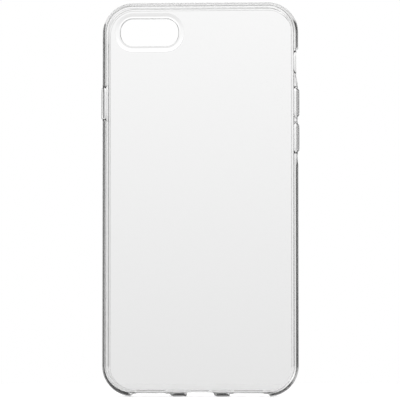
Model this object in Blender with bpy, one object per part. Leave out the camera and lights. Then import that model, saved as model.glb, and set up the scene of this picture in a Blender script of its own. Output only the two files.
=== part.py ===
"""Clear protective case for a 4.7 inch class phone, modelled in Blender 4.5, in metres.

A rigid clear back plate is held by its tongue in a groove of a soft bumper frame that wraps the phone's
sides and folds over the edge of its screen. A soft guard rings the camera opening. Three press pads
hang in windows of the bumper on thin webs and slide inward onto the phone's own keys.

Frame: X runs across the case, +Y from the back plate towards the screen, +Z towards the top edge.
The origin is the centre of the back plate's inner face, on which the phone's back rests.
"""
import math

import bmesh
import bpy
from mathutils import Matrix, Vector

# Phone that the case is moulded around.
PHONE_WIDTH = 0.0671
PHONE_HEIGHT = 0.1383
PHONE_CLEARANCE = 0.00005

# Outer size of the case.
WALL = 0.0017
CASE_WIDTH = PHONE_WIDTH + 2 * (PHONE_CLEARANCE + WALL)
CASE_HEIGHT = PHONE_HEIGHT + 2 * (PHONE_CLEARANCE + WALL)
CORNER_RADIUS = 0.0110
HALF_WIDTH = CASE_WIDTH / 2
HALF_HEIGHT = CASE_HEIGHT / 2

# Section of the bumper: insets run inward from the case's outline, depths run along +Y.
BACK_THICKNESS = 0.0012
BACK_ROUND_INSET = 0.0024
BACK_ROUND_DEPTH = 0.00394
BACK_ROUND_POWER = 1.9
FRONT_DEPTH = 0.0083
FRONT_ROUND_INSET = 0.00076
FRONT_ROUND_DEPTH = 0.00396
FRONT_ROUND_POWER = 2.63
LIP_INSET = 0.00245
LIP_EDGE_ROUND = 0.00042
LIP_UNDERSIDE_DEPTH = 0.00737
CAVITY_STRAIGHT_END = 0.00362
CAVITY_FILLET = 0.00047

# Joint between plate and bumper: the plate's tongue sits in the bumper's groove.
JOINT_GAP = 0.0002
PLATE_INSET = BACK_ROUND_INSET + JOINT_GAP
TONGUE_INSET = 0.0020
TONGUE_DEPTHS = (-0.00065, -0.00035)
GROOVE_INSET = TONGUE_INSET - JOINT_GAP
GROOVE_DEPTHS = (TONGUE_DEPTHS[0] - JOINT_GAP, TONGUE_DEPTHS[1] + JOINT_GAP)

# Camera opening and the guard around it.
CAMERA_CENTRE = (-0.0180, 0.0597)
CAMERA_WIDTH = 0.0208
CAMERA_HEIGHT = 0.0098
CAMERA_RADIUS = 0.0045
GUARD_WIDTH = 0.0020
GUARD_PROUD = 0.0004
GUARD_EDGE_ROUND = 0.0009
GUARD_EDGE_DEPTH = 0.0006

# Press pads: each one slides inward in a window of the bumper's side wall, on a thin sloping web.
PAD_CENTRE_DEPTH = 0.0036
PAD_THICKNESS_DEPTH = 0.0032
PAD_INNER_X = 0.0341
PAD_RADIUS = 0.00155
PAD_EDGE_ROUND = 0.00025
WINDOW_MARGIN = 0.00075
WEB_GAP = 0.00012
WEB_THICKNESS = 0.00035
WEB_INNER_X = 0.0342
WEB_RISE = 0.0002
POWER_PROUD = 0.00057
VOLUME_PROUD = 0.00035

# Name of the pad, its web, side of the case (sign of X), centre height, length
# and how far it stands out of the full wall.
PADS = (
    ("power_button", "power_button_web", -1, 0.0346, 0.0114, POWER_PROUD),
    ("volume_up_button", "volume_up_web", 1, 0.03455, 0.0103, VOLUME_PROUD),
    ("volume_down_button", "volume_down_web", 1, 0.0219, 0.0103, VOLUME_PROUD),
)

# Openings in the side and bottom walls. A relief planes the outside of the wall around each one.
MUTE_RELIEF = 0.00075
MUTE_RELIEF_LOW = 0.0443
MUTE_RELIEF_HIGH = 0.0537
MUTE_RELIEF_RAMP = 0.0029
MUTE_WINDOW = (0.0449, 0.0533)
VOLUME_RELIEF = 0.0002
VOLUME_RELIEF_LOW = 0.0152
VOLUME_RELIEF_RAMP = 0.0037
SPEAKER_RELIEF = 0.0011
SPEAKER_WINDOW = (0.0107, 0.0242)
PORT_RELIEF = 0.00145
PORT_HALF_WIDTH = 0.0048
PORT_WINDOW_DEPTHS = (0.0005, 0.0063)
MUTE_WINDOW_DEPTHS = (0.0008, 0.0062)
PORT_WINDOW_RADIUS = 0.0022
RELIEF_OVERSHOOT = 0.0015
RELIEF_SLANT = 0.0006

# Clear plastics: the plate is rigid, everything else is soft.
RIGID_TINT = (0.90, 0.91, 0.91)
RIGID_ROUGHNESS = 0.06
SOFT_TINT = (0.86, 0.87, 0.87)
SOFT_ROUGHNESS = 0.12
PLASTIC_IOR = 1.5
PLASTIC_TRANSMISSION = 0.9

# Fineness of the curves, and how vertices are welded and edges kept sharp.
ARC_STEPS = 8
SECTION_STEPS = 6
LIP_STEPS = 3
BEVEL_STEPS = 2
CIRCLE_HANDLE = 4 / 3 * (math.sqrt(2) - 1)
WELD_DISTANCE = 0.000001
SHARP_ANGLE = math.radians(30)

# Turns a flat outline's X and Y into the case's X and Z; a local height h lies at depth -h.
ONTO_BACK = Matrix.Rotation(math.radians(90), 4, "X")


def new_collection(name):
    collection = bpy.data.collections.new(name)
    bpy.context.scene.collection.children.link(collection)
    return collection


def clear_plastic(name, colour, roughness):
    """Clear moulded plastic with a slight tint."""
    material = bpy.data.materials.new(name)
    material.use_nodes = True
    shader = material.node_tree.nodes["Principled BSDF"]
    shader.inputs["Base Color"].default_value = (*colour, 1.0)
    shader.inputs["Roughness"].default_value = roughness
    shader.inputs["Metallic"].default_value = 0.0
    shader.inputs["IOR"].default_value = PLASTIC_IOR
    shader.inputs["Transmission Weight"].default_value = PLASTIC_TRANSMISSION
    return material


def add_outline(curve, width, height, radius, centre=(0.0, 0.0)):
    """Closed rounded rectangle: four Bezier quarter circles joined by straight runs."""
    spline = curve.splines.new("BEZIER")
    spline.bezier_points.add(7)
    spline.use_cyclic_u = True
    spline.resolution_u = ARC_STEPS
    corners = ((1, 1), (-1, 1), (-1, -1), (1, -1))
    for index, (side_x, side_y) in enumerate(corners):
        corner_x = centre[0] + side_x * (width / 2 - radius)
        corner_y = centre[1] + side_y * (height / 2 - radius)
        corner = Vector((corner_x, corner_y, 0))
        turn = Matrix.Rotation(index * math.pi / 2, 3, "Z")
        outward = turn @ Vector((radius, 0, 0))
        along = turn @ Vector((0, radius, 0))
        start = spline.bezier_points[2 * index]
        end = spline.bezier_points[2 * index + 1]
        start.co = corner + outward
        end.co = corner + along
        start.handle_left_type = "VECTOR"
        start.handle_right_type = "FREE"
        end.handle_left_type = "FREE"
        end.handle_right_type = "VECTOR"
        start.handle_right = start.co + CIRCLE_HANDLE * along
        end.handle_left = end.co + CIRCLE_HANDLE * outward


def add_polygon(curve, points):
    """Closed straight-sided outline."""
    spline = curve.splines.new("POLY")
    spline.points.add(len(points) - 1)
    spline.use_cyclic_u = True
    for point, (x, y) in zip(spline.points, points):
        point.co = (x, y, 0, 1)


def flat_curve(name):
    curve = bpy.data.curves.new(name, "CURVE")
    curve.dimensions = "2D"
    curve.resolution_u = ARC_STEPS
    curve.fill_mode = "BOTH"
    return curve


def curve_to_mesh(curve, name, placement, collection):
    """Turn a curve into a welded mesh object that stands where the curve stood."""
    source = bpy.data.objects.new(name + "_curve", curve)
    source.matrix_world = placement
    bpy.context.scene.collection.objects.link(source)
    bpy.context.view_layer.update()
    evaluated = source.evaluated_get(bpy.context.evaluated_depsgraph_get())
    mesh = bpy.data.meshes.new_from_object(evaluated)
    mesh.name = name
    shape = bmesh.new()
    shape.from_mesh(mesh)
    bmesh.ops.remove_doubles(shape, verts=shape.verts, dist=WELD_DISTANCE)
    bmesh.ops.recalc_face_normals(shape, faces=shape.faces)
    shape.to_mesh(mesh)
    shape.free()
    result = bpy.data.objects.new(name, mesh)
    result.matrix_world = source.matrix_world.copy()
    collection.objects.link(result)
    bpy.data.objects.remove(source)
    return result


def slab(name, curve, thickness, placement, collection, edge_round=0.0):
    """Flat piece with the curve's outline, centred on the placement's plane."""
    curve.extrude = thickness / 2 - edge_round
    curve.bevel_depth = edge_round
    curve.bevel_resolution = BEVEL_STEPS
    curve.offset = -edge_round
    return curve_to_mesh(curve, name, placement, collection)


def depth_slab(name, curve, low, high, collection, edge_round=0.0):
    """Slab between two depths, with an outline in X and Z."""
    placement = Matrix.Translation((0, (low + high) / 2, 0)) @ ONTO_BACK
    return slab(name, curve, high - low, placement, collection, edge_round)


def add_case_outline(curve, inset):
    """The case's outline, moved inward."""
    add_outline(curve, CASE_WIDTH - 2 * inset, CASE_HEIGHT - 2 * inset, CORNER_RADIUS - inset)


def ring(name, outline, section, placement, collection):
    """Sweep a closed section, given as (inset, height) pairs, along a rounded rectangle."""
    profile_curve = flat_curve(name + "_profile")
    profile_curve.fill_mode = "NONE"
    add_polygon(profile_curve, section)
    profile = bpy.data.objects.new(name + "_profile", profile_curve)
    bpy.context.scene.collection.objects.link(profile)
    path = flat_curve(name + "_path")
    path.fill_mode = "NONE"
    path.bevel_mode = "OBJECT"
    path.bevel_object = profile
    add_outline(path, *outline)
    result = curve_to_mesh(path, name, placement, collection)
    bpy.data.objects.remove(profile)
    return result


def quarter(centre, start, end, steps=SECTION_STEPS, power=2.0):
    """Points of the quarter ellipse about centre from start to end; a higher power makes it squarer."""
    first = Vector(start) - Vector(centre)
    second = Vector(end) - Vector(centre)
    points = []
    for step in range(steps + 1):
        angle = step / steps * math.pi / 2
        along_first = max(math.cos(angle), 0.0) ** (2 / power)
        along_second = math.sin(angle) ** (2 / power)
        offset = first * along_first + second * along_second
        points.append((centre[0] + offset.x, centre[1] + offset.y))
    return points


def bumper_section():
    """Outline of the bumper's wall as (inset, depth): back, outer side, lip, cavity and groove."""
    back_end = BACK_ROUND_DEPTH - BACK_THICKNESS
    front_start = FRONT_DEPTH - FRONT_ROUND_DEPTH
    cavity_front = LIP_INSET - LIP_EDGE_ROUND
    seat_inset = WALL + CAVITY_FILLET
    back_round = quarter(
        (BACK_ROUND_INSET, back_end),
        (BACK_ROUND_INSET, -BACK_THICKNESS),
        (0, back_end),
        power=BACK_ROUND_POWER,
    )
    front_round = quarter(
        (FRONT_ROUND_INSET, front_start),
        (0, front_start),
        (FRONT_ROUND_INSET, FRONT_DEPTH),
        power=FRONT_ROUND_POWER,
    )
    lip_edge = quarter(
        (cavity_front, FRONT_DEPTH - LIP_EDGE_ROUND),
        (cavity_front, FRONT_DEPTH),
        (LIP_INSET, FRONT_DEPTH - LIP_EDGE_ROUND),
        LIP_STEPS,
    )
    lip_underside = quarter(
        (cavity_front, LIP_UNDERSIDE_DEPTH + LIP_EDGE_ROUND),
        (LIP_INSET, LIP_UNDERSIDE_DEPTH + LIP_EDGE_ROUND),
        (cavity_front, LIP_UNDERSIDE_DEPTH),
        LIP_STEPS,
    )
    cavity_round = quarter(
        (cavity_front, CAVITY_STRAIGHT_END),
        (cavity_front, LIP_UNDERSIDE_DEPTH),
        (WALL, CAVITY_STRAIGHT_END),
    )
    cavity_fillet = quarter(
        (seat_inset, CAVITY_FILLET),
        (WALL, CAVITY_FILLET),
        (seat_inset, 0),
        LIP_STEPS,
    )
    groove_low, groove_high = GROOVE_DEPTHS
    seam = [
        (BACK_ROUND_INSET, 0),
        (BACK_ROUND_INSET, groove_high),
        (GROOVE_INSET, groove_high),
        (GROOVE_INSET, groove_low),
        (BACK_ROUND_INSET, groove_low),
    ]
    return back_round + front_round + lip_edge + lip_underside + cavity_round[1:] + cavity_fillet + seam


def combine(target, tool, operation):
    """Add a hidden tool to the target, or cut it away."""
    tool.hide_render = True
    tool.display_type = "WIRE"
    modifier = target.modifiers.new(operation.lower() + "_" + tool.name, "BOOLEAN")
    modifier.operation = operation
    modifier.solver = "EXACT"
    modifier.object = tool


def cut(target, cutter):
    """Subtract a cutter from the target."""
    combine(target, cutter, "DIFFERENCE")


def relief(name, points, cutters):
    """Prism through the case's whole depth with an outline in X and Z."""
    curve = flat_curve(name)
    add_polygon(curve, points)
    low = -BACK_THICKNESS - RELIEF_OVERSHOOT
    return depth_slab(name, curve, low, FRONT_DEPTH + RELIEF_OVERSHOOT, cutters)


def bottom_relief(name, low_x, high_x, depth, cutters):
    """Planes the bottom wall between two heights of X, with a slant at each end."""
    floor = -HALF_HEIGHT - RELIEF_OVERSHOOT
    points = [
        (low_x - RELIEF_SLANT, floor),
        (low_x - RELIEF_SLANT, -HALF_HEIGHT),
        (low_x, -HALF_HEIGHT + depth),
        (high_x, -HALF_HEIGHT + depth),
        (high_x + RELIEF_SLANT, -HALF_HEIGHT),
        (high_x + RELIEF_SLANT, floor),
    ]
    return relief(name, points, cutters)


def side_relief(cutters):
    """Planes the right wall around the volume pads and, deeper, around the mute switch."""
    outside = HALF_WIDTH + RELIEF_OVERSHOOT
    volume_face = HALF_WIDTH - VOLUME_RELIEF
    mute_face = HALF_WIDTH - MUTE_RELIEF
    ramp_foot = VOLUME_RELIEF_LOW - VOLUME_RELIEF_RAMP
    top = MUTE_RELIEF_HIGH + RELIEF_SLANT
    points = [
        (outside, ramp_foot),
        (HALF_WIDTH, ramp_foot),
        (volume_face, VOLUME_RELIEF_LOW),
        (volume_face, MUTE_RELIEF_LOW - MUTE_RELIEF_RAMP),
        (mute_face, MUTE_RELIEF_LOW),
        (mute_face, MUTE_RELIEF_HIGH),
        (HALF_WIDTH, top),
        (outside, top),
    ]
    return relief("side_relief", points, cutters)


def side_placement(side, x, depth, z):
    """Turns a flat outline's X and Y into depth and height on the side wall, facing outward."""
    across = Vector((0, side, 0))
    up = Vector((0, 0, 1))
    outward = Vector((side, 0, 0))
    turn = Matrix((across, up, outward)).transposed().to_4x4()
    return Matrix.Translation((side * x, depth, z)) @ turn


def side_window(name, side, low_z, high_z, depths, radius, cutters):
    """Rounded window through a side wall."""
    curve = flat_curve(name)
    add_outline(curve, depths[1] - depths[0], high_z - low_z, radius)
    placement = side_placement(side, HALF_WIDTH - WALL / 2, sum(depths) / 2, (low_z + high_z) / 2)
    return slab(name, curve, 2 * WALL + 2 * RELIEF_OVERSHOOT, placement, cutters)


def bottom_window(name, low_x, high_x, cutters):
    """Rounded window through the bottom wall."""
    curve = flat_curve(name)
    low, high = PORT_WINDOW_DEPTHS
    add_outline(curve, high_x - low_x, high - low, PORT_WINDOW_RADIUS)
    placement = Matrix.Translation(((low_x + high_x) / 2, (low + high) / 2, -HALF_HEIGHT + WALL / 2))
    return slab(name, curve, 2 * WALL + 2 * RELIEF_OVERSHOOT, placement, cutters)


def build_bumper(parts, cutters):
    outline = (CASE_WIDTH, CASE_HEIGHT, CORNER_RADIUS)
    section = [(inset, -depth) for inset, depth in bumper_section()]
    bumper = ring("bumper_frame", outline, section, ONTO_BACK, parts)
    cut(bumper, side_relief(cutters))
    mute_low, mute_high = MUTE_WINDOW
    mute_window = side_window(
        "mute_window", 1, mute_low, mute_high, MUTE_WINDOW_DEPTHS, PORT_WINDOW_RADIUS, cutters
    )
    cut(bumper, mute_window)
    inner, outer = SPEAKER_WINDOW
    bottom_openings = (
        ("left_speaker", -outer, -inner, SPEAKER_RELIEF),
        ("port", -PORT_HALF_WIDTH, PORT_HALF_WIDTH, PORT_RELIEF),
        ("right_speaker", inner, outer, SPEAKER_RELIEF),
    )
    for name, low_x, high_x, relief_depth in bottom_openings:
        cut(bumper, bottom_relief(name + "_relief", low_x, high_x, relief_depth, cutters))
        cut(bumper, bottom_window(name + "_window", low_x, high_x, cutters))
    for pad_name, _, side, centre_z, length, _ in PADS:
        half_depth = PAD_THICKNESS_DEPTH / 2 + WINDOW_MARGIN
        half_length = length / 2 + WINDOW_MARGIN
        depths = (PAD_CENTRE_DEPTH - half_depth, PAD_CENTRE_DEPTH + half_depth)
        window = side_window(
            pad_name + "_window", side, centre_z - half_length, centre_z + half_length,
            depths, PAD_RADIUS + WINDOW_MARGIN, cutters,
        )
        cut(bumper, window)
    return bumper


def plate_shoulder(name, low, high, cutters):
    """Ring that trims the plate's edge above or below its tongue."""
    curve = flat_curve(name)
    add_case_outline(curve, 0)
    add_case_outline(curve, PLATE_INSET)
    return depth_slab(name, curve, low, high, cutters)


def build_plate(parts, cutters):
    """Rigid plate with the tongue round its edge and the camera hole."""
    curve = flat_curve("back_plate")
    add_case_outline(curve, TONGUE_INSET)
    plate = depth_slab("back_plate", curve, -BACK_THICKNESS, 0, parts)
    tongue_low, tongue_high = TONGUE_DEPTHS
    cut(plate, plate_shoulder("plate_shoulder_back", tongue_low - BACK_THICKNESS, tongue_low, cutters))
    cut(plate, plate_shoulder("plate_shoulder_front", tongue_high, tongue_high + BACK_THICKNESS, cutters))
    hole_curve = flat_curve("camera_hole")
    grow = GUARD_WIDTH + JOINT_GAP
    add_outline(
        hole_curve, CAMERA_WIDTH + 2 * grow, CAMERA_HEIGHT + 2 * grow, CAMERA_RADIUS + grow, CAMERA_CENTRE
    )
    cut(plate, depth_slab("camera_hole", hole_curve, -2 * BACK_THICKNESS, BACK_THICKNESS, cutters))
    return plate


def build_guard(parts):
    """Raised ring: it slopes up from the plate and rounds over into the camera opening."""
    crest = -(BACK_THICKNESS + GUARD_PROUD)
    crest_inset = GUARD_WIDTH - GUARD_EDGE_ROUND
    section = [(0, 0), (0, -BACK_THICKNESS)]
    section += quarter(
        (crest_inset, crest + GUARD_EDGE_DEPTH),
        (crest_inset, crest),
        (GUARD_WIDTH, crest + GUARD_EDGE_DEPTH),
    )
    section += [(GUARD_WIDTH, 0)]
    outline = (
        CAMERA_WIDTH + 2 * GUARD_WIDTH,
        CAMERA_HEIGHT + 2 * GUARD_WIDTH,
        CAMERA_RADIUS + GUARD_WIDTH,
        CAMERA_CENTRE,
    )
    return ring("camera_guard", outline, [(inset, -depth) for inset, depth in section], ONTO_BACK, parts)


def build_pad(name, side, centre_z, length, proud, parts):
    curve = flat_curve(name)
    add_outline(curve, PAD_THICKNESS_DEPTH, length, PAD_RADIUS)
    outer_x = HALF_WIDTH + proud
    placement = side_placement(side, (PAD_INNER_X + outer_x) / 2, PAD_CENTRE_DEPTH, centre_z)
    return slab(name, curve, outer_x - PAD_INNER_X, placement, parts, PAD_EDGE_ROUND)


def build_web(name, side, centre_z, length, parts):
    """Thin sloping ring from the window's edge out to the pad's side."""
    width = WINDOW_MARGIN - 2 * WEB_GAP
    section = [(0, 0), (0, WEB_THICKNESS), (width, WEB_RISE + WEB_THICKNESS), (width, WEB_RISE)]
    grow = 2 * (width + WEB_GAP)
    radius = PAD_RADIUS + width + WEB_GAP
    outline = (PAD_THICKNESS_DEPTH + grow, length + grow, radius)
    placement = side_placement(side, WEB_INNER_X, PAD_CENTRE_DEPTH, centre_z)
    return ring(name, outline, section, placement, parts)


def build_case():
    for old in list(bpy.data.objects):
        bpy.data.objects.remove(old)
    parts = new_collection("phone_case")
    cutters = new_collection("phone_case_cutters")
    rigid = clear_plastic("rigid_clear", RIGID_TINT, RIGID_ROUGHNESS)
    plate = build_plate(parts, cutters)
    plate.data.materials.append(rigid)
    soft_pieces = [build_bumper(parts, cutters), build_guard(parts)]
    for pad_name, web_name, side, centre_z, length, proud in PADS:
        soft_pieces.append(build_pad(pad_name, side, centre_z, length, proud, parts))
        soft_pieces.append(build_web(web_name, side, centre_z, length, parts))
    for piece in soft_pieces:
        soft = clear_plastic(piece.name + "_soft_clear", SOFT_TINT, SOFT_ROUGHNESS)
        piece.data.materials.append(soft)
    for piece in [plate] + soft_pieces:
        piece.data.shade_smooth()
        piece.data.set_sharp_from_angle(angle=SHARP_ANGLE)


build_case()
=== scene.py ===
"""Looks of a clear two-shot phone case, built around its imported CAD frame, in metres.

Every CAD node is replaced by a finer mesh in the same place: lofted rings with rounded edges, and
windows with flared rims. X runs across the case, +Y towards the phone's screen and +Z up.
"""

import math

import bmesh
import bpy
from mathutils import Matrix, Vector


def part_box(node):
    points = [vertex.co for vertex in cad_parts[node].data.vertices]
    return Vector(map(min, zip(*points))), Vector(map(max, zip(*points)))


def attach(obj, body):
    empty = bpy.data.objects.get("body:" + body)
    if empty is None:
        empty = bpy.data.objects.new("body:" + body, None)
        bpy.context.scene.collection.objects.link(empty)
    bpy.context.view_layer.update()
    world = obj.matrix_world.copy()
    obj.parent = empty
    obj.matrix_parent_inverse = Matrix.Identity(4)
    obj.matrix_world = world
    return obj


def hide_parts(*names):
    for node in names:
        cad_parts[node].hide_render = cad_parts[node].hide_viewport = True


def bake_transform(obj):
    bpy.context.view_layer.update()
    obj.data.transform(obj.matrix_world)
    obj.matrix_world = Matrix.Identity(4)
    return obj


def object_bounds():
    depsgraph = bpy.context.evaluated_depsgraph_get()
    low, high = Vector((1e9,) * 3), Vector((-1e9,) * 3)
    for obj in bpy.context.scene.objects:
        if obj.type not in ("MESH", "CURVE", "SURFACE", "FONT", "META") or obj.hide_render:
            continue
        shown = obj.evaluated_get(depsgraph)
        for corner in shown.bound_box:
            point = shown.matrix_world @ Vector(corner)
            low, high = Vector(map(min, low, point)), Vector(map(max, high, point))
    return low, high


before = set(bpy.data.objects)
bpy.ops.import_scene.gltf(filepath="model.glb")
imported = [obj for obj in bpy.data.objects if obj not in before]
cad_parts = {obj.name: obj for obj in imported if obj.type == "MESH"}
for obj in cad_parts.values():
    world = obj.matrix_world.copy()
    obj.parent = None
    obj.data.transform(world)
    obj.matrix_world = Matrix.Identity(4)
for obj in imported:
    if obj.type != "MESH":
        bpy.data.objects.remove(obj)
CAD_LOW, CAD_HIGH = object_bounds()

# Sizes read from the frame.
CASE_LOW, CASE_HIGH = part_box("bumper_frame")
GUARD_LOW, GUARD_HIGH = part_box("camera_guard")
CASE_WIDTH = CASE_HIGH.x - CASE_LOW.x
CASE_HEIGHT = CASE_HIGH.z - CASE_LOW.z
HALF_WIDTH = CASE_WIDTH / 2
HALF_HEIGHT = CASE_HEIGHT / 2
BACK_Y = CASE_LOW.y
FRONT_Y = CASE_HIGH.y

# Section of the bumper: insets from the case's outline, depths along +Y.
CORNER_RADIUS = 0.0110
WALL = 0.0017
BACK_ROUND_INSET = 0.0024
BACK_ROUND_DEPTH = 0.00394
BACK_ROUND_POWER = 1.9
FRONT_ROUND_INSET = 0.00076
FRONT_ROUND_DEPTH = 0.00396
FRONT_ROUND_POWER = 2.63
LIP_INSET = 0.00245
LIP_EDGE_ROUND = 0.00042
LIP_UNDERSIDE = 0.00737
CAVITY_FRONT_START = 0.00362
CAVITY_FILLET = 0.00047
BACK_ROUND_STEPS = 22
FRONT_ROUND_STEPS = 16
LIP_EDGE_STEPS = 5
LIP_UNDERSIDE_STEPS = 4
CAVITY_ROUND_STEPS = 10
CAVITY_FILLET_STEPS = 8

# Seam between bumper and plate. The plate's faces start with two narrow bands that hold its edge's shading.
JOINT_EDGE_ROUND = 0.00005
JOINT_EDGE_STEPS = 3
JOINT_GAP = 0.00003
PLATE_BANDS = (3 * JOINT_EDGE_ROUND, 0.001)

# Camera guard, and how far its cutter reaches past the plate's faces.
GUARD_WIDTH = 0.0020
GUARD_RADIUS = 0.0065
GUARD_EDGE_ROUND = 0.0009
GUARD_EDGE_DEPTH = 0.0006
GUARD_EDGE_STEPS = 12
GUARD_GAP = 0.00003
INNER_EDGE_ROUND = 0.0002
INNER_EDGE_STEPS = 5
CUTTER_REACH = 0.002

# Windows: spans along X or Z, spans along Y, corner radius, and how far their rims widen.
SPEAKER_SPAN = (0.0107, 0.0242)
PORT_HALF_WIDTH = 0.0048
MUTE_SPAN = (0.0449, 0.0533)
MUTE_DEPTHS = (0.0008, 0.0062)
PORT_DEPTHS = (0.0005, 0.0063)
WINDOW_RADIUS = 0.0022
WINDOW_FLARE = 0.00022
FLARE_SHARE = 0.6
FLARE_STEPS = 4
FLARE_REACH_IN = 0.002
FLARE_REACH_OUT = 0.003

# Reliefs planed into the outside of the wall: (place along the side, depth) pairs.
VOLUME_RELIEF = 0.0002
MUTE_RELIEF = 0.00075
SIDE_RELIEF = (
    (0.0115, 0.0),
    (0.0152, VOLUME_RELIEF),
    (0.0414, VOLUME_RELIEF),
    (0.0443, MUTE_RELIEF),
    (0.0537, MUTE_RELIEF),
    (0.0543, 0.0),
)
SPEAKER_RELIEF = 0.0011
PORT_RELIEF = 0.00145
RELIEF_SLANT = 0.0006
BOTTOM_RELIEF = (
    (PORT_HALF_WIDTH, PORT_RELIEF),
    (PORT_HALF_WIDTH + RELIEF_SLANT, 0.0),
    (SPEAKER_SPAN[0] - RELIEF_SLANT, 0.0),
    (SPEAKER_SPAN[0], SPEAKER_RELIEF),
    (SPEAKER_SPAN[1], SPEAKER_RELIEF),
    (SPEAKER_SPAN[1] + RELIEF_SLANT, 0.0),
)
RELIEF_BLEND = 0.00012
RAMP_MARKS = 6

# Press pads: margin to the window, roundings, and the share of the pad's width at its inner face and at its
# top. A crown has a height and a power that makes it squarer.
WINDOW_MARGIN = 0.00075
PAD_END_ROUND = 0.00155
PAD_INNER_ROUND = 0.0001
PAD_INNER_SHARE = 0.97
PAD_TOP_SHARE = 0.04
PAD_END_SLOPE = 0.45
CROWN_STEPS = 13
POWER_CROWN = (0.0004, 2.0)
VOLUME_CROWN = (0.00055, 1.1)

# Piece name, CAD node, CAD node of its web, name of the web's piece, body, side and crown.
PADS = (
    (
        "power_pad_cap", "power_button", "power_button_web", "power_pad_bellows",
        "power_pad", -1, POWER_CROWN,
    ),
    (
        "volume_up_cap", "volume_up_button", "volume_up_web", "volume_up_bellows",
        "volume_up_pad", 1, VOLUME_CROWN,
    ),
    (
        "volume_down_cap", "volume_down_button", "volume_down_web", "volume_down_bellows",
        "volume_down_pad", 1, VOLUME_CROWN,
    ),
)

# Webs between the pads and their windows.
WEB_GAP = 0.00004
WEB_THICKNESS = 0.0003
WEB_INNER_X = 0.0342
WEB_RISE = 0.0002
WEB_STEPS = 8

# Spacing of points along straight runs, steps round corners, and the angle from which edges stay sharp.
LONG_SPACING = 0.006
SIDE_SPACING = 0.003
SMALL_SPACING = 0.002
ARC_STEPS = 20
SMALL_ARC_STEPS = 12
SMOOTH_ANGLE = math.radians(32)
NORMAL_WEIGHT = 90


# ---------------------------------------------------------------- outlines and lofts


def arc(centre, start, end, steps, power=2.0):
    """Points of the quarter ellipse about centre from start to end; a higher power makes it squarer."""
    first = Vector(start) - Vector(centre)
    second = Vector(end) - Vector(centre)
    points = []
    for step in range(steps + 1):
        angle = step / steps * math.pi / 2
        along_first = max(math.cos(angle), 0.0) ** (2 / power)
        along_second = math.sin(angle) ** (2 / power)
        offset = first * along_first + second * along_second
        points.append((centre[0] + offset.x, centre[1] + offset.y))
    return points


def spread(low, high, spacing, extra=()):
    """Evenly spaced values between two ends, with extra values mixed in, ends included."""
    count = max(1, round((high - low) / spacing))
    values = {round(low + (high - low) * step / count, 7) for step in range(count + 1)}
    values |= {round(value, 7) for value in extra if low < value < high}
    return sorted(values)


def outline(width, height, radius, spacing, extra=None, steps=ARC_STEPS):
    """Points and outward normals round a rounded rectangle, as (point, normal, side) in its plane."""
    extra = extra or {}
    turns = ((1, 0), (0, 1), (-1, 0), (0, -1))
    names = ("right", "top", "left", "bottom")
    path = []
    for index, (name, (nx, ny)) in enumerate(zip(names, turns)):
        half_across = (width if nx else height) / 2
        half_along = (height if nx else width) / 2 - radius
        normal = Vector((nx, ny))
        along = Vector((-ny, nx))
        sign = along.x + along.y
        marks = [sign * mark for mark in extra.get(name, ())]
        for place in spread(-half_along, half_along, spacing, marks):
            path.append((normal * half_across + along * place, normal, name))
        centre = normal * (half_across - radius) + along * half_along
        for step in range(1, steps):
            angle = (index + step / steps) * math.pi / 2
            direction = Vector((math.cos(angle), math.sin(angle)))
            path.append((centre + direction * radius, direction, "corner"))
    return path


def loft(name, rings, closed):
    """Skin a row of rings with quads; closed joins the last to the first, otherwise both are capped."""
    shape = bmesh.new()
    rows = [[shape.verts.new(point) for point in ring] for ring in rings]
    pairs = list(zip(rows, rows[1:]))
    if closed:
        pairs.append((rows[-1], rows[0]))
    else:
        shape.faces.new(rows[0])
        shape.faces.new(list(reversed(rows[-1])))
    for low, high in pairs:
        for index in range(len(low)):
            following = (index + 1) % len(low)
            shape.faces.new((low[index], high[index], high[following], low[following]))
    bmesh.ops.recalc_face_normals(shape, faces=shape.faces)
    mesh = bpy.data.meshes.new(name)
    shape.to_mesh(mesh)
    shape.free()
    piece = bpy.data.objects.new(name, mesh)
    bpy.context.scene.collection.objects.link(piece)
    return piece


def on_back(point, depth, centre=(0.0, 0.0)):
    """A point of an outline in X and Z, at a depth."""
    return Vector((centre[0] + point.x, depth, centre[1] + point.y))


def ring_piece(name, path, section, centre=(0.0, 0.0)):
    """Sweep a closed section of (inset, depth) pairs round an outline that lies in X and Z."""
    rings = [
        [on_back(point - normal * inset, depth, centre) for point, normal, _ in path]
        for inset, depth in section
    ]
    return loft(name, rings, True)


def cut(piece, cutters):
    """Cut the cutters away from the piece, and remove them."""
    for cutter in cutters:
        modifier = piece.modifiers.new("cut", "BOOLEAN")
        modifier.operation = "DIFFERENCE"
        modifier.solver = "EXACT"
        modifier.object = cutter
    bake_modifiers(piece)
    for cutter in cutters:
        bpy.data.objects.remove(cutter)


def bake_modifiers(piece):
    """Replace the mesh by what its modifiers make of it."""
    bpy.context.view_layer.update()
    evaluated = piece.evaluated_get(bpy.context.evaluated_depsgraph_get())
    mesh = bpy.data.meshes.new_from_object(evaluated)
    piece.modifiers.clear()
    piece.data = mesh


def finish_piece(piece, body, slot, material, *nodes):
    """Smooth the piece, give it its material, tie it to its body, if it has one, and hide its CAD nodes."""
    piece.data.materials.clear()
    piece.data.materials.append(material)
    piece.data.shade_smooth()
    piece.data.set_sharp_from_angle(angle=SMOOTH_ANGLE)
    weights = piece.modifiers.new("weighted_normals", "WEIGHTED_NORMAL")
    weights.keep_sharp = True
    weights.weight = NORMAL_WEIGHT
    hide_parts(*nodes)
    if body:
        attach(piece, body)
    return piece


# ---------------------------------------------------------------- bumper and plate


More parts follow.
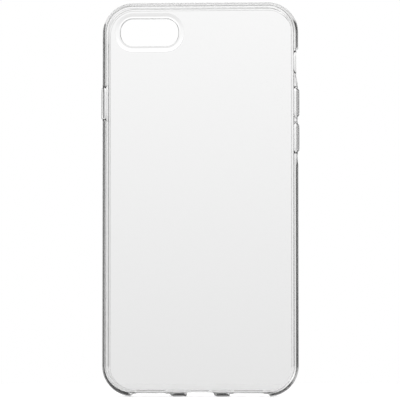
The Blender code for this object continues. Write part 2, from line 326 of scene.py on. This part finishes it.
def bumper_section():
    """Section of the bumper as (inset, depth) points: the outside, which reliefs plane, and the inside."""
    back_end = BACK_Y + BACK_ROUND_DEPTH
    front_start = FRONT_Y - FRONT_ROUND_DEPTH
    edge = JOINT_EDGE_ROUND
    lip = LIP_EDGE_ROUND
    flat = LIP_INSET - lip
    seat = WALL + CAVITY_FILLET
    outside = [(BACK_ROUND_INSET, BACK_Y + edge)]
    outside += arc(
        (BACK_ROUND_INSET, back_end),
        (BACK_ROUND_INSET, BACK_Y),
        (0, back_end),
        BACK_ROUND_STEPS,
        BACK_ROUND_POWER,
    )[1:]
    outside += [(0, (back_end + front_start) / 2)]
    outside += arc(
        (FRONT_ROUND_INSET, front_start),
        (0, front_start),
        (FRONT_ROUND_INSET, FRONT_Y),
        FRONT_ROUND_STEPS,
        FRONT_ROUND_POWER,
    )
    outside += arc((flat, FRONT_Y - lip), (flat, FRONT_Y), (LIP_INSET, FRONT_Y - lip), LIP_EDGE_STEPS)
    underside = LIP_UNDERSIDE + lip
    inside = arc((flat, underside), (LIP_INSET, underside), (flat, LIP_UNDERSIDE), LIP_UNDERSIDE_STEPS)
    inside += arc(
        (flat, CAVITY_FRONT_START), (flat, LIP_UNDERSIDE), (WALL, CAVITY_FRONT_START), CAVITY_ROUND_STEPS
    )[1:]
    inside += arc((seat, CAVITY_FILLET), (WALL, CAVITY_FILLET), (seat, 0), CAVITY_FILLET_STEPS)
    inside += [(BACK_ROUND_INSET - edge, 0), (BACK_ROUND_INSET, -edge)]
    return outside, inside


def relief_depth(point, side):
    """How deep the wall's outside is planed at a place on the case's outline."""
    if side == "right":
        return ramp(point.y, SIDE_RELIEF)
    if side == "bottom":
        return ramp(abs(point.x), BOTTOM_RELIEF)
    return 0.0


def ramp(place, steps):
    """Depth at a place, eased between the given (place, depth) steps."""
    if place <= steps[0][0]:
        return steps[0][1]
    for (low, start), (high, end) in zip(steps, steps[1:]):
        if place <= high:
            share = (place - low) / (high - low)
            eased = share * share * (3 - 2 * share)
            return start + (end - start) * eased
    return steps[-1][1]


def planed(inset, depth):
    """Inset of an outside point once the wall is planed to a depth, with a soft edge."""
    if depth <= 0:
        return inset
    soft = min(RELIEF_BLEND, depth)
    return 0.5 * (inset + depth + math.sqrt((inset - depth) ** 2 + soft ** 2))


def relief_marks(steps, mirrored):
    """Places where the ramps need more points."""
    marks = []
    for (low, start), (high, end) in zip(steps, steps[1:]):
        if start != end:
            marks += [low + (high - low) * step / RAMP_MARKS for step in range(RAMP_MARKS + 1)]
    return marks + [-mark for mark in marks] if mirrored else marks


def build_bumper(material):
    extra = {"right": relief_marks(SIDE_RELIEF, False), "bottom": relief_marks(BOTTOM_RELIEF, True)}
    path = outline(CASE_WIDTH, CASE_HEIGHT, CORNER_RADIUS, SIDE_SPACING, extra)
    outside, inside = bumper_section()
    depths = [relief_depth(point, side) for point, _, side in path]
    rings = []
    for inset, y in outside:
        ring = []
        for (point, normal, _), depth in zip(path, depths):
            ring.append(on_back(point - normal * planed(inset, depth), y))
        rings.append(ring)
    for inset, y in inside:
        rings.append([on_back(point - normal * inset, y) for point, normal, _ in path])
    bumper = loft("bumper_shell", rings, True)
    cutters = [side_cutter("mute_cut", 1, MUTE_SPAN, MUTE_DEPTHS, WINDOW_RADIUS, HALF_WIDTH - MUTE_RELIEF)]
    near, far = SPEAKER_SPAN
    cutters.append(bottom_cutter("left_speaker_cut", (-far, -near), SPEAKER_RELIEF))
    cutters.append(bottom_cutter("port_cut", (-PORT_HALF_WIDTH, PORT_HALF_WIDTH), PORT_RELIEF))
    cutters.append(bottom_cutter("right_speaker_cut", (near, far), SPEAKER_RELIEF))
    for _, node, _, _, _, side, _ in PADS:
        low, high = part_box(node)
        span = (low.z - WINDOW_MARGIN, high.z + WINDOW_MARGIN)
        across = (low.y - WINDOW_MARGIN, high.y + WINDOW_MARGIN)
        face = HALF_WIDTH - (VOLUME_RELIEF if side > 0 else 0)
        cutters.append(side_cutter("pad_cut", side, span, across, PAD_END_ROUND + WINDOW_MARGIN, face))
    cut(bumper, cutters)
    return finish_piece(bumper, "case", "soft_clear", material, "bumper_frame")


def flared_stations(inner, outer, flare):
    """(height, growth) pairs of a window cutter that widens at the wall's inner and outer face."""
    inner_flare = flare * FLARE_SHARE
    stations = [(inner - FLARE_REACH_IN, FLARE_REACH_IN + inner_flare), (inner, inner_flare)]
    for step in range(1, FLARE_STEPS + 1):
        rise = math.sin(step / FLARE_STEPS * math.pi / 2)
        stations.append((inner + flare * rise, inner_flare * (1 - rise)))
    for step in range(FLARE_STEPS + 1):
        rise = 1 - math.cos(step / FLARE_STEPS * math.pi / 2)
        stations.append((outer - flare + flare * rise, flare * rise))
    stations.append((outer + FLARE_REACH_OUT, flare + FLARE_REACH_OUT))
    return stations


def window_rings(width, height, radius, stations, place):
    """Rings of a rounded window at each station, put in place by a function of (point, height)."""
    path = outline(width, height, radius, SIDE_SPACING, steps=SMALL_ARC_STEPS)
    rings = []
    for height_along, grow in stations:
        rings.append([place(point + normal * grow, height_along) for point, normal, _ in path])
    return rings


def side_cutter(name, side, span, depths, radius, face):
    """Flared window through a side wall, whose outer face lies at |X| = face."""
    centre_y = sum(depths) / 2
    centre_z = sum(span) / 2
    stations = flared_stations(HALF_WIDTH - WALL, face, WINDOW_FLARE)

    def place(point, height):
        return Vector((side * height, centre_y + point.x, centre_z + point.y))

    rings = window_rings(depths[1] - depths[0], span[1] - span[0], radius, stations, place)
    return loft(name, rings, False)


def bottom_cutter(name, span, relief):
    """Flared window through the bottom wall."""
    centre_x = sum(span) / 2
    centre_y = sum(PORT_DEPTHS) / 2
    stations = flared_stations(HALF_HEIGHT - WALL, HALF_HEIGHT - relief, WINDOW_FLARE / 2)

    def place(point, height):
        return Vector((centre_x + point.x, centre_y + point.y, -height))

    depth = PORT_DEPTHS[1] - PORT_DEPTHS[0]
    rings = window_rings(span[1] - span[0], depth, WINDOW_RADIUS, stations, place)
    return loft(name, rings, False)


def build_plate(material):
    """Flat panel inside the bumper's seam, with the camera hole."""
    path = outline(CASE_WIDTH, CASE_HEIGHT, CORNER_RADIUS, LONG_SPACING)
    edge = JOINT_EDGE_ROUND
    inset = BACK_ROUND_INSET + JOINT_GAP
    narrow, wide = PLATE_BANDS
    section = [(inset + wide, 0), (inset + narrow, 0), (inset + edge, 0), (inset, -edge)]
    section += arc(
        (inset + edge, BACK_Y + edge), (inset, BACK_Y + edge), (inset + edge, BACK_Y), JOINT_EDGE_STEPS
    )
    section += [(inset + narrow, BACK_Y), (inset + wide, BACK_Y)]
    rings = [[on_back(point - normal * u, y) for point, normal, _ in path] for u, y in section]
    plate = loft("back_panel", rings, False)
    width = GUARD_HIGH.x - GUARD_LOW.x + 2 * GUARD_GAP
    height = GUARD_HIGH.z - GUARD_LOW.z + 2 * GUARD_GAP
    centre = (GUARD_LOW + GUARD_HIGH) / 2
    radius = GUARD_RADIUS + GUARD_GAP
    stations = [(BACK_Y - CUTTER_REACH, 0), (CUTTER_REACH, 0)]

    def place(point, depth):
        return Vector((centre.x + point.x, depth, centre.z + point.y))

    cutter = loft("camera_cut", window_rings(width, height, radius, stations, place), False)
    cut(plate, [cutter])
    return finish_piece(plate, "case", "rigid_clear", material, "back_plate")


def build_guard(material):
    """Ring that slopes up from the plate and rounds over into the camera opening."""
    width = GUARD_HIGH.x - GUARD_LOW.x
    height = GUARD_HIGH.z - GUARD_LOW.z
    path = outline(width, height, GUARD_RADIUS, SIDE_SPACING)
    centre = (GUARD_LOW + GUARD_HIGH) / 2
    crest = GUARD_LOW.y
    top = GUARD_WIDTH - GUARD_EDGE_ROUND
    foot = crest + GUARD_EDGE_DEPTH
    edge = INNER_EDGE_ROUND
    section = [(0, 0), (0, BACK_Y), (top, crest)]
    section += arc((top, foot), (top, crest), (GUARD_WIDTH, foot), GUARD_EDGE_STEPS)[1:]
    section += arc(
        (GUARD_WIDTH - edge, -edge), (GUARD_WIDTH, -edge), (GUARD_WIDTH - edge, 0), INNER_EDGE_STEPS
    )
    guard = ring_piece("camera_lip", path, section, (centre.x, centre.z))
    return finish_piece(guard, "case", "soft_clear", material, "camera_guard")


# ---------------------------------------------------------------- pads and webs


def build_pad(name, node, body, side, crown, material):
    """Press pad with a softly domed outer face."""
    low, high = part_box(node)
    centre = (low + high) / 2
    inner = min(abs(low.x), abs(high.x))
    outer = max(abs(low.x), abs(high.x))
    width = high.y - low.y
    length = high.z - low.z
    path = outline(width, length, PAD_END_ROUND, SMALL_SPACING, steps=SMALL_ARC_STEPS)
    crown_height, power = crown
    shoulder = outer - crown_height
    stations = [(inner, PAD_INNER_SHARE), (inner + PAD_INNER_ROUND, 1.0), (shoulder, 1.0)]
    for step in range(1, CROWN_STEPS):
        rise = math.sin(step / CROWN_STEPS * math.pi / 2)
        stations.append((shoulder + crown_height * rise, (1 - rise ** power) ** (1 / power)))
    stations.append((outer, PAD_TOP_SHARE))
    rings = []
    for x, share in stations:
        end_share = 1 - PAD_END_SLOPE * (1 - share) * width / length
        ring = []
        for point, _, _ in path:
            ring.append(Vector((side * x, centre.y + point.x * share, centre.z + point.y * end_share)))
        rings.append(ring)
    pad = loft(name, rings, False)
    return finish_piece(pad, body, "soft_clear", material, node)


def build_web(name, node, web_node, side, material):
    """Thin bellows ring from the window's edge to the pad."""
    low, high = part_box(node)
    centre = (low + high) / 2
    margin = WINDOW_MARGIN - WEB_GAP
    window_width = high.y - low.y + 2 * margin
    window_length = high.z - low.z + 2 * margin
    path = outline(
        window_width, window_length, PAD_END_ROUND + margin, SMALL_SPACING, steps=SMALL_ARC_STEPS
    )
    width = WINDOW_MARGIN - 2 * WEB_GAP
    lower = []
    upper = []
    for step in range(WEB_STEPS + 1):
        share = step / WEB_STEPS
        rise = WEB_RISE * share * share * (3 - 2 * share)
        lower.append((width * share, WEB_INNER_X + rise))
        upper.append((width * share, WEB_INNER_X + rise + WEB_THICKNESS))
    section = lower + list(reversed(upper))
    rings = []
    for inset, x in section:
        ring = []
        for point, normal, _ in path:
            flat = point - normal * inset
            ring.append(Vector((side * x, centre.y + flat.x, centre.z + flat.y)))
        rings.append(ring)
    web = loft(name, rings, True)
    finish_piece(web, None, "soft_clear", material, web_node)
    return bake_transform(web)


# ---------------------------------------------------------------- materials

# Base colour and the finest roughness of each plastic, and how strong its mould flow waves are.
RIGID_LOOK = ((0.93, 0.93, 0.93), 0.015, 0.02)
SOFT_LOOK = ((0.95, 0.95, 0.95), 0.02, 0.012)
PLASTIC_IOR = 1.49
PLASTIC_TRANSMISSION = 1.0
HAZE_SCALE = 300
HAZE_DETAIL = 4
HAZE_RANGE = (0.35, 0.75)
HAZE_GAIN = 1.8
FLOW_SCALE = 60
FLOW_DETAIL = 1
FLOW_DISTANCE = 0.0002


def new_material(name):
    material = bpy.data.materials.new(name)
    material.use_nodes = True
    nodes = material.node_tree.nodes
    return material, nodes, material.node_tree.links, nodes["Principled BSDF"]


def clear_plastic(name, tint, roughness, waviness):
    """Clear moulded plastic: mould flow waves, and faint handling haze in its gloss."""
    material, nodes, links, shader = new_material(name)
    shader.inputs["Base Color"].default_value = (*tint, 1)
    shader.inputs["IOR"].default_value = PLASTIC_IOR
    shader.inputs["Transmission Weight"].default_value = PLASTIC_TRANSMISSION
    coordinates = nodes.new("ShaderNodeTexCoord")
    haze = nodes.new("ShaderNodeTexNoise")
    haze.inputs["Scale"].default_value = HAZE_SCALE
    haze.inputs["Detail"].default_value = HAZE_DETAIL
    links.new(coordinates.outputs["Object"], haze.inputs["Vector"])
    gloss = nodes.new("ShaderNodeMapRange")
    gloss.inputs["From Min"].default_value = HAZE_RANGE[0]
    gloss.inputs["From Max"].default_value = HAZE_RANGE[1]
    gloss.inputs["To Min"].default_value = roughness
    gloss.inputs["To Max"].default_value = roughness * HAZE_GAIN
    links.new(haze.outputs["Fac"], gloss.inputs["Value"])
    links.new(gloss.outputs["Result"], shader.inputs["Roughness"])
    flow = nodes.new("ShaderNodeTexNoise")
    flow.inputs["Scale"].default_value = FLOW_SCALE
    flow.inputs["Detail"].default_value = FLOW_DETAIL
    links.new(coordinates.outputs["Object"], flow.inputs["Vector"])
    bump = nodes.new("ShaderNodeBump")
    bump.inputs["Strength"].default_value = waviness
    bump.inputs["Distance"].default_value = FLOW_DISTANCE
    links.new(flow.outputs["Fac"], bump.inputs["Height"])
    links.new(bump.outputs["Normal"], shader.inputs["Normal"])
    return material


# ---------------------------------------------------------------- stage, light and camera

# Camera: where it stands round the case, how far off, and how wide a strip it sees there.
VIEW_AZIMUTH = math.radians(3.8)
VIEW_ELEVATION = math.radians(-2.75)
CAMERA_DISTANCE = 1.0
VIEW_WIDTH = 0.14338
SENSOR_WIDTH = 36.0
AIM = Vector((0.0001, 0.0, -0.00052))

# Studio, by direction. The backdrop's tone goes by height (Z), and it is brighter overhead and at the rear,
# which is the camera's side.
BACKDROP_HEIGHTS = (-0.03, 0.26)
BACKDROP_TONES = (0.823, 1.163)
OVERHEAD_HEIGHTS = (0.3, 0.7)
OVERHEAD_TONE = 1.1
REAR_EDGES = (-0.2, -0.6)
REAR_TONE = 1.15

# Dark flags round the backdrop, which draw the lines in the clear edges. Each has the way (X, Z) that it
# stands from +Y and the soft edge of its reach sideways, the two soft edges of its angle from +Y in
# degrees, and how dark it is at the backdrop's top and foot. None goes far below the horizon.
FLAGS = (
    ((-1.0, 0.0), (0.35, 0.7), (41, 47), (64, 70), 0.7, 0.95),
    ((1.0, 0.0), (0.35, 0.7), (17, 23), (72, 78), 0.75, 0.8),
    ((0.2, 0.98), (0.15, 0.5), (38, 44), (62, 68), 0.97, 0.97),
)
FLAG_FOOT = (-0.28, -0.18)

# Floor: a pale disc that is brightened only where the camera sees it directly.
FLOOR_RADIUS = 0.26
FLOOR_SIDES = 96
FLOOR_DROP = 0.0001
FLOOR_TONE = 0.79
FLOOR_ROUGHNESS = 0.8
FLOOR_WHITENING = 0.4


def build_camera():
    data = bpy.data.cameras.new("camera")
    data.sensor_width = SENSOR_WIDTH
    data.lens = SENSOR_WIDTH * CAMERA_DISTANCE / VIEW_WIDTH
    camera = bpy.data.objects.new("camera", data)
    bpy.context.scene.collection.objects.link(camera)
    level = math.cos(VIEW_ELEVATION)
    across = math.sin(VIEW_AZIMUTH) * level
    rearward = math.cos(VIEW_AZIMUTH) * level
    back = Vector((across, -rearward, math.sin(VIEW_ELEVATION)))
    camera.location = AIM + back * CAMERA_DISTANCE
    camera.rotation_euler = (-back).to_track_quat("-Z", "Y").to_euler()
    bpy.context.scene.camera = camera


def build_floor():
    """Pale round table, kept bright where the camera sees it directly."""
    bpy.ops.mesh.primitive_circle_add(
        vertices=FLOOR_SIDES,
        radius=FLOOR_RADIUS,
        fill_type="NGON",
        location=(0, 0, CAD_LOW.z - FLOOR_DROP),
    )
    floor = bpy.context.object
    floor.name = "floor"
    material, nodes, links, shader = new_material("pale_floor")
    shader.inputs["Base Color"].default_value = (FLOOR_TONE, FLOOR_TONE, FLOOR_TONE, 1)
    shader.inputs["Roughness"].default_value = FLOOR_ROUGHNESS
    shader.inputs["Emission Color"].default_value = (1, 1, 1, 1)
    path = nodes.new("ShaderNodeLightPath")
    glow = nodes.new("ShaderNodeMapRange")
    glow.inputs["To Min"].default_value = 0
    glow.inputs["To Max"].default_value = FLOOR_WHITENING
    links.new(path.outputs["Is Camera Ray"], glow.inputs["Value"])
    links.new(glow.outputs["Result"], shader.inputs["Emission Strength"])
    floor.data.materials.append(material)


def build_world():
    """White to the camera. Through the clear plastic it is a backdrop that brightens upwards, with flags."""
    world = bpy.data.worlds.new("studio")
    bpy.context.scene.world = world
    world.use_nodes = True
    nodes = world.node_tree.nodes
    links = world.node_tree.links
    background = nodes["Background"]
    coordinates = nodes.new("ShaderNodeTexCoord")
    split = nodes.new("ShaderNodeSeparateXYZ")
    links.new(coordinates.outputs["Generated"], split.inputs["Vector"])

    def feed(socket, value):
        if isinstance(value, (int, float)):
            socket.default_value = value
        else:
            links.new(value, socket)

    def calculate(operation, *values):
        node = nodes.new("ShaderNodeMath")
        node.operation = operation
        for socket, value in zip(node.inputs, values):
            feed(socket, value)
        return node.outputs["Value"]

    def remap(value, from_low, from_high, to_low, to_high, smooth=True):
        node = nodes.new("ShaderNodeMapRange")
        if smooth:
            node.interpolation_type = "SMOOTHSTEP"
        feed(node.inputs["Value"], value)
        feed(node.inputs["From Min"], from_low)
        feed(node.inputs["From Max"], from_high)
        feed(node.inputs["To Min"], to_low)
        feed(node.inputs["To Max"], to_high)
        return node.outputs["Result"]

    x, y, z = split.outputs
    tone = remap(z, *BACKDROP_HEIGHTS, *BACKDROP_TONES, smooth=False)
    overhead = remap(z, *OVERHEAD_HEIGHTS, 1.0, OVERHEAD_TONE)
    rear = remap(y, *REAR_EDGES, 1.0, REAR_TONE)
    tone = calculate("MULTIPLY", tone, calculate("MULTIPLY", overhead, rear))
    angle = calculate("ARCCOSINE", y)
    standing = remap(z, *FLAG_FOOT, 0.0, 1.0)
    for (across, up), reach_edge, inner, outer, depth_top, depth_foot in FLAGS:
        enter = remap(angle, math.radians(inner[0]), math.radians(inner[1]), 0.0, 1.0)
        leave = remap(angle, math.radians(outer[0]), math.radians(outer[1]), 1.0, 0.0)
        toward = calculate("ADD", calculate("MULTIPLY", x, across), calculate("MULTIPLY", z, up))
        reach = remap(calculate("DIVIDE", toward, calculate("SINE", angle)), *reach_edge, 0.0, 1.0)
        depth = remap(z, *BACKDROP_HEIGHTS, depth_foot, depth_top, smooth=False)
        band = calculate("MULTIPLY", calculate("MULTIPLY", enter, leave), standing)
        dark = calculate("MULTIPLY", band, calculate("MULTIPLY", reach, depth))
        tone = calculate("MULTIPLY", tone, calculate("SUBTRACT", 1.0, dark))
    path = nodes.new("ShaderNodeLightPath")
    seen = remap(path.outputs["Is Camera Ray"], 0.0, 1.0, tone, 1.0, smooth=False)
    links.new(seen, background.inputs["Strength"])
    background.inputs["Color"].default_value = (1, 1, 1, 1)


rigid = clear_plastic("rigid_clear_plastic", *RIGID_LOOK)
soft = clear_plastic("soft_clear_plastic", *SOFT_LOOK)
build_camera()
build_floor()
build_world()
bpy.context.scene.view_settings.view_transform = "Standard"
build_plate(rigid)
build_bumper(soft)
build_guard(soft)
for pad_name, pad_node, web_node, web_name, pad_body, pad_side, pad_crown in PADS:
    build_pad(pad_name, pad_node, pad_body, pad_side, pad_crown, soft)
    build_web(web_name, pad_node, web_node, pad_side, soft)
